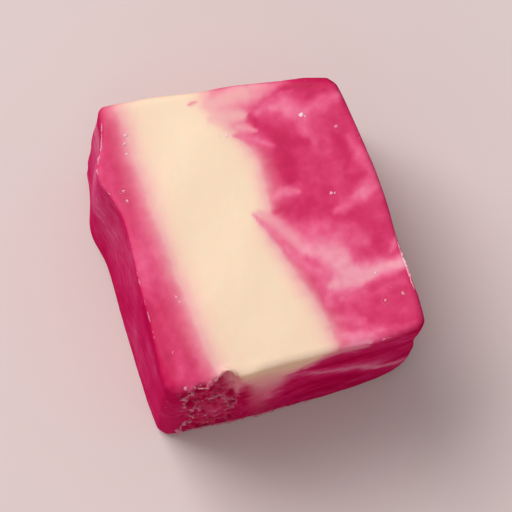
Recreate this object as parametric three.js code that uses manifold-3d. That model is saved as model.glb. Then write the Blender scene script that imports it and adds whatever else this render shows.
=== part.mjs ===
// One hand-cut block of marbled fudge, a single solid.
//
// Millimetres, +Z up. The block rests on the flat face that lay on the tray. Its front faces -Y,
// and the origin is the middle of the bounding box's underside. Four knife cuts made the sides, so
// no two edges are parallel and each side bows a little. The left cut leans out towards the tray
// and leaves a shoulder near its back end. Beside the front left corner the fudge tore instead of
// cutting, which left a strip of crags down the front and a bite out of the upper edge.

import * as THREE from "three";
import { mergeVertices } from "three/addons/utils/BufferGeometryUtils.js";
import Module from "manifold-3d";

// Driving dimensions.
const HEIGHT = 27;
const TOP_CORNERS = {
  frontLeft: [-13.9, -14.9],
  frontRight: [16.3, -14.9],
  backLeft: [-13.7, 19.2],
  backRight: [13.4, 16.3],
};
const TRAY_CORNERS = {
  frontLeft: [-15.9, -15.5],
  frontRight: [16.5, -14.9],
  backLeft: [-16.6, 18.7],
  backRight: [14.6, 17.2],
};
const CROWN = 0.35; // how far the middle of the upper face stands above its rims

// Knife cuts: how far each side swells out of the straight line between its corners. "at" and
// "reach" are shares of the side's length, counted from the front or from the left.
const SWELLS = {
  left: [
    { at: 0.77, reach: 0.1, outAtTop: 1.7, outAtTray: 1.1 },
    { at: 0.45, reach: 0.3, outAtTop: 0.0, outAtTray: 0.3 },
  ],
  right: [{ at: 0.6, reach: 0.35, outAtTop: 0.35, outAtTray: 0.3 }],
  front: [{ at: 0.5, reach: 0.3, outAtTop: -0.15, outAtTray: 0.15 }],
  back: [{ at: 0.6, reach: 0.35, outAtTop: 0.15, outAtTray: 0.4 }],
};

// Rounding of the edges. The knife left the left rim sharp and rolled the front one over.
const RIM_RADIUS = { left: 0.4, right: 0.55, front: 0.95, back: 0.7 };
const TRAY_RADIUS = 0.4;

// Worn uprights: each is rounder than the rims and drawn in along its diagonal. The reaches are
// shares of the block's half width. The front right one is worn most, at its foot.
const WORN_REACH = 0.2;
const DRAWN_REACH = 0.22;
const WORN_UPRIGHTS = [
  { side: [-1, -1], extraRadius: 0.8, inAtTop: 0.0, inAtTray: 0.5 },
  { side: [1, -1], extraRadius: 0.3, inAtTop: 0.7, inAtTray: 2.3 },
  { side: [-1, 1], extraRadius: 0.5, inAtTop: 0.0, inAtTray: 0.2 },
  { side: [1, 1], extraRadius: 0.4, inAtTop: 0.9, inAtTray: 0.6 },
];

// Slow waves that the knife and the fingers left on the faces: wave vectors in radians per mm.
const WAVES = [
  { height: 0.07, along: [0.31, 0.17, -0.23], phase: 0.4 },
  { height: 0.06, along: [-0.19, 0.36, 0.28], phase: 2.1 },
  { height: 0.05, along: [0.52, -0.44, 0.39], phase: 4.0 },
  { height: 0.03, along: [-0.83, -0.61, 0.72], phase: 1.3 },
];
const STILL_ABOVE_TRAY = 2; // the waves fade out over this height, so the underside stays flat

// The torn strip, on the front face beside the front left corner: scoops side by side, whose
// rims meet in thin crags.
const TORN = { left: -12.3, right: -6.3, columns: 4, rows: 12 };
const SCOOP_RADIUS = [1.3, 2.1];
const SCOOP_SUNK = [0.3, 0.8];

// The bite out of the upper edge: an egg shape whose middle lies outside the front face.
const RIM_BITE = { x: -6.8, outside: 0.6, below: 0.5, radii: [1.7, 2.3, 3.5] };
const ANGULARITY = 0.22; // how far a scoop's corners stray from its radius

const CELLS = { width: 26, depth: 26, height: 22 };
const CROWDING = 0.84; // how strongly grid lines crowd towards the edges, from 0 to 1
const SIDE_SHARPNESS = 6; // how quickly one rim's radius gives way to the next at a corner

// A small repeatable random source, so that every build gives the same block.
function randomSource(seed) {
  let state = seed;
  return () => {
    state = (Math.imul(state, 1664525) + 1013904223) >>> 0;
    return state / 4294967296;
  };
}

const mix = (from, to, share) => from + (to - from) * share;
const between = ([low, high], random) => mix(low, high, random());
const bell = (distance, reach) => Math.exp(-((distance / reach) ** 2));

// Moves a uniform grid line towards the nearer edge of the unit cube.
function crowd(line) {
  const quarterTurn = (CROWDING * Math.PI) / 2;
  return Math.sin(line * quarterTurn) / Math.sin(quarterTurn);
}

// How far a point of the unit cube is from an upright.
const fromUpright = ({ side }, a, b) => Math.hypot(a - side[0], b - side[1]);

// The rounding radius near a point of the unit cube, as a share of the block's half size. The
// nearest side's rim radius counts most, and a worn upright adds its own.
function radiusAt([a, b, c]) {
  const nearness = { left: -a, right: a, front: -b, back: b };
  let weighted = 0;
  let weights = 0;
  for (const [side, near] of Object.entries(nearness)) {
    const weight = Math.max(0, near) ** SIDE_SHARPNESS;
    weighted += weight * RIM_RADIUS[side];
    weights += weight;
  }
  const rim = weights > 0 ? weighted / weights : RIM_RADIUS.front;
  const worn = WORN_UPRIGHTS.reduce(
    (sum, upright) => sum + upright.extraRadius * bell(fromUpright(upright, a, b), WORN_REACH),
    0,
  );
  return (mix(TRAY_RADIUS, rim, (c + 1) / 2) + worn) / (HEIGHT / 2);
}

// Rounds the unit cube at one surface point. Gives the rounded point and its outward normal.
function roundOff(point) {
  const radius = radiusAt(point);
  const core = point.map((v) => THREE.MathUtils.clamp(v, radius - 1, 1 - radius));
  const out = new THREE.Vector3(...point.map((v, i) => v - core[i])).normalize();
  const rounded = core.map((v, i) => v + radius * out.getComponent(i));
  return { rounded, out };
}

// A point between four corners: a runs from the left to the right, b from the front to the back.
function betweenCorners(corners, a, b) {
  const share = { a: (a + 1) / 2, b: (b + 1) / 2 };
  return [0, 1].map((axis) =>
    mix(
      mix(corners.frontLeft[axis], corners.frontRight[axis], share.a),
      mix(corners.backLeft[axis], corners.backRight[axis], share.a),
      share.b,
    ),
  );
}

// How far a side swells out at a place along it, at a height share from the tray to the top.
function swell(side, along, heightShare) {
  const parts = SWELLS[side].map(
    ({ at, reach, outAtTop, outAtTray }) =>
      mix(outAtTray, outAtTop, heightShare) * bell((along + 1) / 2 - at, reach),
  );
  return parts.reduce((sum, part) => sum + part, 0);
}

// The waves' height at a point of the block.
function waveHeight(x, y, z) {
  const sum = WAVES.reduce(
    (total, { height, along, phase }) =>
      total + height * Math.sin(along[0] * x + along[1] * y + along[2] * z + phase),
    0,
  );
  return sum * THREE.MathUtils.smoothstep(z, 0, STILL_ABOVE_TRAY);
}

// Carries a point of the unit cube's surface to the block's surface, in millimetres.
function blockPoint(point) {
  const { rounded, out } = roundOff(point);
  const [a, b, c] = rounded;
  const heightShare = (c + 1) / 2;
  const onTop = betweenCorners(TOP_CORNERS, a, b);
  const onTray = betweenCorners(TRAY_CORNERS, a, b);
  let x = mix(onTray[0], onTop[0], heightShare);
  let y = mix(onTray[1], onTop[1], heightShare);
  x += Math.max(0, a) ** 2 * swell("right", b, heightShare);
  x -= Math.max(0, -a) ** 2 * swell("left", b, heightShare);
  y += Math.max(0, b) ** 2 * swell("back", a, heightShare);
  y -= Math.max(0, -b) ** 2 * swell("front", a, heightShare);
  for (const upright of WORN_UPRIGHTS) {
    const furthest = mix(upright.inAtTray, upright.inAtTop, heightShare) * Math.SQRT1_2;
    const drawn = furthest * Math.exp(-fromUpright(upright, a, b) / DRAWN_REACH);
    x -= upright.side[0] * drawn;
    y -= upright.side[1] * drawn;
  }
  const z = heightShare * (HEIGHT + CROWN * (1 - a * a) * (1 - b * b));
  return new THREE.Vector3(x, y, z).addScaledVector(out, waveHeight(x, y, z));
}

// The cut block: a boxed grid whose every point is carried to the block's surface.
function cutBlock() {
  const geometry = new THREE.BoxGeometry(2, 2, 2, CELLS.width, CELLS.depth, CELLS.height);
  const position = geometry.getAttribute("position");
  for (let i = 0; i < position.count; i++) {
    const cube = [position.getX(i), position.getY(i), position.getZ(i)].map(crowd);
    const { x, y, z } = blockPoint(cube);
    position.setXYZ(i, x, y, z);
  }
  return geometry;
}

// One scoop: a faceted lump, round or egg-shaped, whose corners stray from its radii.
function scoopAt(centre, radii, random) {
  const whole = new THREE.IcosahedronGeometry(1, 1);
  whole.deleteAttribute("normal");
  whole.deleteAttribute("uv");
  const geometry = mergeVertices(whole);
  const position = geometry.getAttribute("position");
  for (let i = 0; i < position.count; i++) {
    const stray = 1 + ANGULARITY * (2 * random() - 1);
    const corner = new THREE.Vector3().fromBufferAttribute(position, i).multiplyScalar(stray);
    position.setXYZ(i, corner.x, corner.y, corner.z);
  }
  geometry.scale(...radii);
  return geometry.translate(centre.x, centre.y, centre.z);
}

// The unit cube's coordinate across the front face for a place in millimetres from the middle.
function acrossFront(x, heightShare) {
  const left = mix(TRAY_CORNERS.frontLeft[0], TOP_CORNERS.frontLeft[0], heightShare);
  const right = mix(TRAY_CORNERS.frontRight[0], TOP_CORNERS.frontRight[0], heightShare);
  return (2 * (x - left)) / (right - left) - 1;
}

// The point of the front face at a place across it, in millimetres, and a height share.
const onFront = (x, heightShare) =>
  blockPoint([acrossFront(x, heightShare), -1, 2 * heightShare - 1]);

// Scoops that the tearing took out of the strip, and the larger one out of the upper edge.
function tornScoops(random) {
  const scoops = [];
  for (let row = 0; row < TORN.rows; row++) {
    for (let column = 0; column < TORN.columns; column++) {
      const heightShare = (row + random()) / TORN.rows;
      const x = mix(TORN.left, TORN.right, (column + random()) / TORN.columns);
      const radius = between(SCOOP_RADIUS, random);
      const centre = onFront(x, heightShare);
      centre.y -= radius - between(SCOOP_SUNK, random);
      centre.z = Math.max(centre.z, radius);
      scoops.push(scoopAt(centre, [radius, radius, radius], random));
    }
  }
  const rim = onFront(RIM_BITE.x, 1);
  rim.y -= RIM_BITE.outside;
  rim.z -= RIM_BITE.below;
  scoops.push(scoopAt(rim, RIM_BITE.radii, random));
  return scoops;
}

// A closed geometry as a manifold solid, with the vertices that its faces share merged.
function solidOf(wasm, geometry) {
  const bare = geometry.clone();
  bare.deleteAttribute("normal");
  bare.deleteAttribute("uv");
  const merged = mergeVertices(bare);
  return new wasm.Manifold(
    new wasm.Mesh({
      numProp: 3,
      vertProperties: new Float32Array(merged.getAttribute("position").array),
      triVerts: new Uint32Array(merged.index.array),
    }),
  );
}

// A manifold solid back as a geometry, with its origin moved under its bounding box's middle.
function geometryOf(solid) {
  const { vertProperties, triVerts } = solid.getMesh();
  const geometry = new THREE.BufferGeometry();
  geometry.setAttribute("position", new THREE.BufferAttribute(vertProperties, 3));
  geometry.setIndex(new THREE.BufferAttribute(triVerts, 1));
  geometry.computeBoundingBox();
  const middle = geometry.boundingBox.getCenter(new THREE.Vector3());
  geometry.translate(-middle.x, -middle.y, -geometry.boundingBox.min.z);
  geometry.computeVertexNormals();
  return geometry;
}

// The block with its torn strip.
async function fudgeBlock() {
  const wasm = await Module();
  wasm.setup();
  const random = randomSource(20);
  let solid = solidOf(wasm, cutBlock());
  for (const scoop of tornScoops(random)) {
    solid = solid.subtract(solidOf(wasm, scoop));
  }
  const material = new THREE.MeshStandardMaterial({
    color: "#d94270",
    roughness: 0.5,
    metalness: 0,
    flatShading: true,
  });
  const mesh = new THREE.Mesh(geometryOf(solid), material);
  mesh.name = "fudge";
  return mesh;
}

const part = new THREE.Group();
part.add(await fudgeBlock());

export default part;
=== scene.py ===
"""A hand-cut block of marbled fudge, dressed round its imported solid.

The block is one closed skin on grids that share their seams. Its marbling is worked out as fields
through the block's depth and kept in the skin's attributes. The knife's feather edges and the
crumbs are joined meshes that cling to the skin. Lengths are millimetres until a mesh is made.
"""

import itertools
import logging
from dataclasses import dataclass, replace
from enum import Enum

import bpy
import numpy as np
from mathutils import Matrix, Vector


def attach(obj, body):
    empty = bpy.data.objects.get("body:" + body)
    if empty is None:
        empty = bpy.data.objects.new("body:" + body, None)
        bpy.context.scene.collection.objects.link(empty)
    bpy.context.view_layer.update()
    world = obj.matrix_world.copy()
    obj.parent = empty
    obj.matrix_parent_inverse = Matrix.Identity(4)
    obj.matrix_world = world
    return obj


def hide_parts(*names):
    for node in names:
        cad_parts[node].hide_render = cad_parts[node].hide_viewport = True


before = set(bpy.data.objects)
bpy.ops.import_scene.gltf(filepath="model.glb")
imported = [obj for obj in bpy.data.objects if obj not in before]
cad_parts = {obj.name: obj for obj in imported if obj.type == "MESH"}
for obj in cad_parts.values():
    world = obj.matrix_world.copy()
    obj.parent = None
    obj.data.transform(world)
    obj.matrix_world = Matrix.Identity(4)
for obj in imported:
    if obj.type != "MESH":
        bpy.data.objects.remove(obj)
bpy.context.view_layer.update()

MM = 0.001
NODE = "fudge"
BODY = "root"
# How high on the block the camera aims.
AIM_SHARE = 0.62
Array = np.ndarray
Pair = tuple[float, float]
Triple = tuple[float, float, float]

log = logging.getLogger("fudge")


# Small sums that the shapes share.


def mix(low: float | Array, high: float | Array, share: float | Array) -> float | Array:
    """The value a share of the way from low to high."""
    return low + (high - low) * share


def ease(low: float, high: float, value: Array) -> Array:
    """A smooth step from 0 at low to 1 at high, as the cubic 3t squared less 2t cubed."""
    share = np.clip((value - low) / (high - low), 0, 1)
    return share * share * (3 - 2 * share)


def bell(distance: Array, reach: float | Array) -> Array:
    """A bell curve of the distance: 1 at none, about a third at the reach."""
    return np.exp(-((distance / reach) ** 2))


def unit(vectors: Array) -> Array:
    """The vectors at length 1."""
    return vectors / np.maximum(np.linalg.norm(vectors, axis=-1, keepdims=True), 1e-12)


def soft_ramp(value: Array, softness: float) -> Array:
    """The value above zero and nothing below it, with the bend rounded over the softness."""
    return softness * np.logaddexp(0, value / softness)


@dataclass(frozen=True)
class LatticeNoise:
    """Smooth noise from random slopes on a lattice that repeats, drawn once from its seed."""

    seed: int
    cells: int = 32
    # Brings the sums to about -1 to 1.
    gain: float = 1.6
    # How far apart in millimetres the layers read the lattice.
    layer_shift: float = 17.3

    def slopes(self) -> Array:
        """One random unit slope for each lattice corner."""
        random = np.random.default_rng(self.seed)
        return unit(random.normal(size=(self.cells, self.cells, self.cells, 3)))

    def at(self, points: Array, spacing: float | Triple | Array) -> Array:
        """The noise at the points, between about -1 and 1.

        Each cell's eight corners give a slope times the way from the corner, and a quintic eases
        from one corner's plane to the next.

        Args:
            points: n x 3 places in millimetres.
            spacing: the lattice's spacing in millimetres, one for all axes or one for each.

        Returns:
            n values.
        """
        place = points / np.asarray(spacing)
        cell = np.floor(place).astype(int)
        inside = place - cell
        eased = inside**3 * (inside * (inside * 6 - 15) + 10)
        slopes = self.slopes()
        total = np.zeros(len(points))
        for corner in itertools.product((0, 1), repeat=3):
            index = (cell + corner) % self.cells
            slope = slopes[index[:, 0], index[:, 1], index[:, 2]]
            weight = np.prod(np.where(corner, eased, 1 - eased), axis=1)
            total += weight * np.einsum("ij,ij->i", slope, inside - corner)
        return self.gain * total

    def layered(self, points: Array, spacing: float | Triple, layers: int = 3) -> Array:
        """Noise with each further layer at half the spacing and half the strength."""
        spacings = np.asarray(spacing, float)
        return sum(
            self.at(points + self.layer_shift * k, spacings / 2**k) / 2**k for k in range(layers)
        )

    def three(self, points: Array, spacing: float, shift: float) -> Array:
        """Three layered noises side by side, read a shift of millimetres apart: n x 3."""
        return np.stack([self.layered(points + shift * k, spacing, 3) for k in range(3)], 1)


def put_mesh(name: str, points: Array, faces: Array, fields: dict[str, Array]) -> bpy.types.Object:
    """Makes an object at the origin from arrays, smooth shaded, with a number kept at each point.

    Args:
        name: the piece's name.
        points: n x 3 places in millimetres.
        faces: m x 3 or m x 4 corner numbers, facing outwards.
        fields: attribute name to n values.

    Returns:
        The new object, linked to the scene.
    """
    mesh = bpy.data.meshes.new(name)
    sides = faces.shape[1]
    mesh.vertices.add(len(points))
    mesh.vertices.foreach_set("co", (points * MM).astype(np.float32).ravel())
    mesh.loops.add(faces.size)
    mesh.loops.foreach_set("vertex_index", faces.astype(np.int32).ravel())
    mesh.polygons.add(len(faces))
    mesh.polygons.foreach_set("loop_start", np.arange(0, faces.size, sides, dtype=np.int32))
    mesh.update(calc_edges=True)
    mesh.validate()
    mesh.shade_smooth()
    for label, values in fields.items():
        kept = mesh.attributes.new(label, "FLOAT", "POINT")
        kept.data.foreach_set("value", values.astype(np.float32))
    piece = bpy.data.objects.new(name, mesh)
    bpy.context.scene.collection.objects.link(piece)
    return piece


def point_normals(points: Array, quads: Array) -> Array:
    """Unit normals at the points: the sum of the crossed diagonals of the quads round each.

    Args:
        points: n x 3 places.
        quads: m x 4 point numbers, facing outwards.

    Returns:
        n x 3 unit normals.
    """
    across = points[quads[:, 2]] - points[quads[:, 0]]
    along = points[quads[:, 3]] - points[quads[:, 1]]
    facing = np.cross(across, along)
    total = np.zeros_like(points)
    for corner, axis in itertools.product(range(4), range(3)):
        total[:, axis] += np.bincount(quads[:, corner], facing[:, axis], len(points))
    return unit(total)


def ringed_faces(rings: int, columns: int) -> Array:
    """Triangles of a skin of rings that a point closes at each end.

    Points are counted ring by ring, with the first end's point and the last end's after them.
    The skin faces outwards if a ring's points run anticlockwise, seen along the way from the
    first ring to the last.

    Args:
        rings: how many rings there are.
        columns: how many points each has.

    Returns:
        m x 3 point numbers.
    """
    row, column = np.meshgrid(np.arange(rings - 1), np.arange(columns), indexing="ij")
    here = (row * columns + column).ravel()
    beside = (row * columns + (column + 1) % columns).ravel()
    below, across = here + columns, beside + columns
    first = np.arange(columns)
    after = (first + 1) % columns
    last = (rings - 1) * columns
    start, end = rings * columns, rings * columns + 1
    faces = [
        np.stack([here, below, across], 1),
        np.stack([here, across, beside], 1),
        np.stack([np.full(columns, start), first, after], 1),
        np.stack([np.full(columns, end), last + after, last + first], 1),
    ]
    return np.concatenate(faces)


# Finishes.


def linear(colour: str) -> tuple[float, float, float, float]:
    """An sRGB hex colour made linear: a straight foot, then a power of 2.4.

    Args:
        colour: six hex digits after a hash.

    Returns:
        Red, green, blue and full opacity.
    """
    shares = np.array([int(colour[k : k + 2], 16) for k in (1, 3, 5)]) / 255
    straight = np.where(shares <= 0.04045, shares / 12.92, ((shares + 0.055) / 1.055) ** 2.4)
    return (*straight.tolist(), 1.0)


# The sockets of a Mix node that mixes colours.
FACTOR, FIRST, SECOND, RESULT = 0, 6, 7, 2


def add_node(
    tree: bpy.types.NodeTree, kind: str, inputs: dict | None = None, **settings: object
) -> bpy.types.Node:
    """Adds a node with its settings and its links.

    Args:
        tree: the material's nodes.
        kind: the node's type name.
        inputs: socket name or number to a value, or to the output that feeds it.
        settings: properties of the node. "stops" gives a colour ramp's places and hex colours.

    Returns:
        The new node.
    """
    node = tree.nodes.new(kind)
    for name, value in settings.items():
        if name != "stops":
            setattr(node, name, value)
            continue
        ramp = node.color_ramp.elements
        while len(ramp) < len(value):
            ramp.new(1.0)
        for element, (place, colour) in zip(ramp, value):
            element.position = place
            element.color = linear(colour)
    for key, value in (inputs or {}).items():
        if isinstance(value, bpy.types.NodeSocket):
            tree.links.new(value, node.inputs[key])
        else:
            node.inputs[key].default_value = value
    return node


Stops = tuple[tuple[float, str], ...]


@dataclass(frozen=True)
class FudgeFinish:
    """Set fudge, milk and sugar boiled and beaten: dense, waxy and a little see-through.

    The pinks run from a deep crimson, where the colour is thick, to a milky haze. A cut side is
    painted deeper than the set upper face: partly painted shade with a pink cast, partly its
    moister colour. Cream and pink meet in a warm blush.
    """

    upper_pinks: Stops = (
        (0.0, "#C01250"),
        (0.2, "#CD205C"),
        (0.4, "#D83A6F"),
        (0.6, "#E45986"),
        (0.8, "#EB7F9E"),
        (1.0, "#F0A4B5"),
    )
    # A cut side's pinks, deeper than the upper face's: partly painted shade.
    shaded_side_pinks: Stops = (
        (0.0, "#B00540"),
        (0.2, "#BE114C"),
        (0.4, "#C72059"),
        (0.6, "#D04071"),
        (0.8, "#DA6C8B"),
        (1.0, "#E398A8"),
    )
    upper_creams: Stops = (
        (0.0, "#E98AA0"),
        (0.5, "#EBB0AE"),
        (0.75, "#F0C8B6"),
        (1.0, "#F2DCBE"),
    )
    # A cut side's creams, pinker than the upper face's: partly painted shade with a pink cast.
    shaded_side_creams: Stops = (
        (0.0, "#DF6A88"),
        (0.5, "#E89798"),
        (0.75, "#EEB59F"),
        (1.0, "#F1CCA9"),
    )
    # Dry sugar's colour, which is also a painted highlight on crests, crags and the larger crumbs.
    bloom: str = "#F6BAC6"
    # The share of cream at which the last pink is gone.
    blush_ends: float = 0.45
    # Typical of sugar and milk fat.
    ior: float = 1.47
    roughness: float = 0.46
    gloss: float = 0.0
    # The set upper face's waxy sheen. A cut side has none.
    sheen: float = 0.35
    # Light wanders furthest in red.
    scatter_share: float = 0.35
    scatter_reach: Triple = (1.0, 0.35, 0.3)
    scatter_mm: float = 0.8
    # Real sugar grain is finer. This is as coarse as it needs to show.
    grain_mm: float = 0.22
    grain_depth_mm: float = 0.03
    grain_strength: float = 0.25
    # Clouds of unevenly stirred colour, and how far tone and roughness stray in them.
    mottle_mm: float = 1.3
    mottle_range: Pair = (0.3, 0.7)
    uneven_tone: Pair = (-0.09, 0.09)
    uneven_roughness: Pair = (-0.06, 0.08)

    def upper_or_side(
        self,
        tree: bpy.types.NodeTree,
        share: bpy.types.NodeSocket,
        cut: bpy.types.NodeSocket,
        upper: Stops,
        side: Stops,
    ) -> bpy.types.NodeSocket:
        """The colour at a share of the upper face's ramp, or of the side's where cut is 1, whose deeper
        colour is partly painted shade.

        Args:
            tree: the material's nodes.
            share: the place on both ramps.
            cut: 0 on the upper face and 1 on a cut side.
            upper: the upper face's ramp.
            side: the cut side's ramp, deeper partly as painted shade.

        Returns:
            The output that gives the colour.
        """
        ramps = [
            add_node(tree, "ShaderNodeValToRGB", {"Fac": share}, stops=stops).outputs["Color"]
            for stops in (upper, side)
        ]
        return add_node(
            tree,
            "ShaderNodeMix",
            {FACTOR: cut, FIRST: ramps[0], SECOND: ramps[1]},
            data_type="RGBA",
        ).outputs[RESULT]

    def material(self, name: str) -> bpy.types.Material:
        """Makes the material, which reads the attributes tone, cream, cut and bloom of its piece.

        Args:
            name: the material's name.

        Returns:
            The material.
        """
        material = bpy.data.materials.new(name)
        material.use_nodes = True
        tree = material.node_tree
        tree.nodes.clear()
        place = add_node(tree, "ShaderNodeTexCoord").outputs["Object"]
        read = {
            label: add_node(tree, "ShaderNodeAttribute", attribute_name=label).outputs["Fac"]
            for label in ("tone", "cream", "cut", "bloom")
        }
        mottle = add_node(
            tree,
            "ShaderNodeTexNoise",
            {"Vector": place, "Scale": 1 / (self.mottle_mm * MM), "Detail": 4.0},
        ).outputs["Fac"]
        clouds = {
            "Value": mottle,
            "From Min": self.mottle_range[0],
            "From Max": self.mottle_range[1],
        }
        stirred = add_node(
            tree,
            "ShaderNodeMapRange",
            {**clouds, "To Min": self.uneven_tone[0], "To Max": self.uneven_tone[1]},
            clamp=False,
        ).outputs["Result"]
        tone = add_node(
            tree, "ShaderNodeMath", {0: read["tone"], 1: stirred}, operation="ADD", use_clamp=True
        ).outputs["Value"]
        pink, cream = (
            self.upper_or_side(tree, share, read["cut"], upper, side)
            for share, upper, side in (
                (tone, self.upper_pinks, self.shaded_side_pinks),
                (read["cream"], self.upper_creams, self.shaded_side_creams),
            )
        )
        # The warm blush where pink and cream have bled into each other.
        blush = add_node(
            tree, "ShaderNodeMapRange", {"Value": read["cream"], "From Max": self.blush_ends}
        ).outputs["Result"]
        marbled = add_node(
            tree,
            "ShaderNodeMix",
            {FACTOR: blush, FIRST: pink, SECOND: cream},
            data_type="RGBA",
        ).outputs[RESULT]
        # Dry sugar on crumbs, crags and rims, which on the crests, the crags and the larger crumbs is
        # also a painted highlight.
        with_sugar_and_glint = add_node(
            tree,
            "ShaderNodeMix",
            {FACTOR: read["bloom"], FIRST: marbled, SECOND: linear(self.bloom)},
            data_type="RGBA",
        ).outputs[RESULT]
        # Sugar grain, which breaks up the gloss.
        grain = add_node(
            tree,
            "ShaderNodeTexNoise",
            {"Vector": place, "Scale": 1 / (self.grain_mm * MM), "Detail": 3.0},
        ).outputs["Fac"]
        height = add_node(
            tree,
            "ShaderNodeBump",
            {
                "Strength": self.grain_strength,
                "Distance": self.grain_depth_mm * MM,
                "Height": grain,
            },
        ).outputs["Normal"]
        rough = add_node(
            tree,
            "ShaderNodeMapRange",
            {
                **clouds,
                "To Min": self.roughness + self.uneven_roughness[0],
                "To Max": self.roughness + self.uneven_roughness[1],
            },
        ).outputs["Result"]
        sheen = add_node(
            tree, "ShaderNodeMapRange", {"Value": read["cut"], "To Min": self.sheen, "To Max": 0.0}
        ).outputs["Result"]
        shader = add_node(
            tree,
            "ShaderNodeBsdfPrincipled",
            {
                "Base Color": with_sugar_and_glint,
                "Roughness": rough,
                "IOR": self.ior,
                "Specular IOR Level": self.gloss,
                "Coat Weight": sheen,
                "Coat Roughness": self.roughness,
                "Normal": height,
                "Subsurface Weight": self.scatter_share,
                "Subsurface Radius": self.scatter_reach,
                "Subsurface Scale": self.scatter_mm * MM,
            },
        )
        add_node(tree, "ShaderNodeOutputMaterial", {"Surface": shader.outputs["BSDF"]})
        return material


@dataclass(frozen=True)
class FloorFinish:
    """A matt painted board, pale and plain, so that nothing competes with the fudge."""

    colour: str = "#D8CBC8"
    roughness: float = 0.85
    # The brush's marks.
    mark_mm: float = 2.0
    mark_depth_mm: float = 0.05
    mark_strength: float = 0.1

    def material(self) -> bpy.types.Material:
        """Makes the floor's material, with a faint brushed unevenness.

        Returns:
            The material.
        """
        material = bpy.data.materials.new("painted_board")
        material.use_nodes = True
        tree = material.node_tree
        tree.nodes.clear()
        place = add_node(tree, "ShaderNodeTexCoord").outputs["Object"]
        marks = add_node(
            tree,
            "ShaderNodeTexNoise",
            {"Vector": place, "Scale": 1 / (self.mark_mm * MM), "Detail": 3.0},
        ).outputs["Fac"]
        bump = add_node(
            tree,
            "ShaderNodeBump",
            {
                "Strength": self.mark_strength,
                "Distance": self.mark_depth_mm * MM,
                "Height": marks,
            },
        ).outputs["Normal"]
        shader = add_node(
            tree,
            "ShaderNodeBsdfPrincipled",
            {"Base Color": linear(self.colour), "Roughness": self.roughness, "Normal": bump},
        )
        add_node(tree, "ShaderNodeOutputMaterial", {"Surface": shader.outputs["BSDF"]})
        return material


# The block.


class Side(Enum):
    """The upright faces, each with the unit cube's axis and end that it lies at."""

    LEFT = (0, -1)
    RIGHT = (0, 1)
    FRONT = (1, -1)
    BACK = (1, 1)


@dataclass(frozen=True)
class Swell:
    """Where a side swells out: its place and reach along the side as shares, and how far."""

    side: Side
    at: float
    reach: float
    out_at_top: float
    out_at_tray: float


@dataclass(frozen=True)
class WornUpright:
    """An upright edge that is rounder than the rims and drawn in along its diagonal."""

    side: Pair
    extra_radius: float
    in_at_top: float
    in_at_tray: float

    def distance(self, cube: Array) -> Array:
        """How far points of the unit cube are from the upright, seen from above."""
        return np.hypot(cube[:, 0] - self.side[0], cube[:, 1] - self.side[1])


@dataclass(frozen=True)
class Wave:
    """One slow wave of the faces: its height, its wave vector in radians per mm and its phase."""

    height: float
    along: Triple
    phase: float


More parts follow.
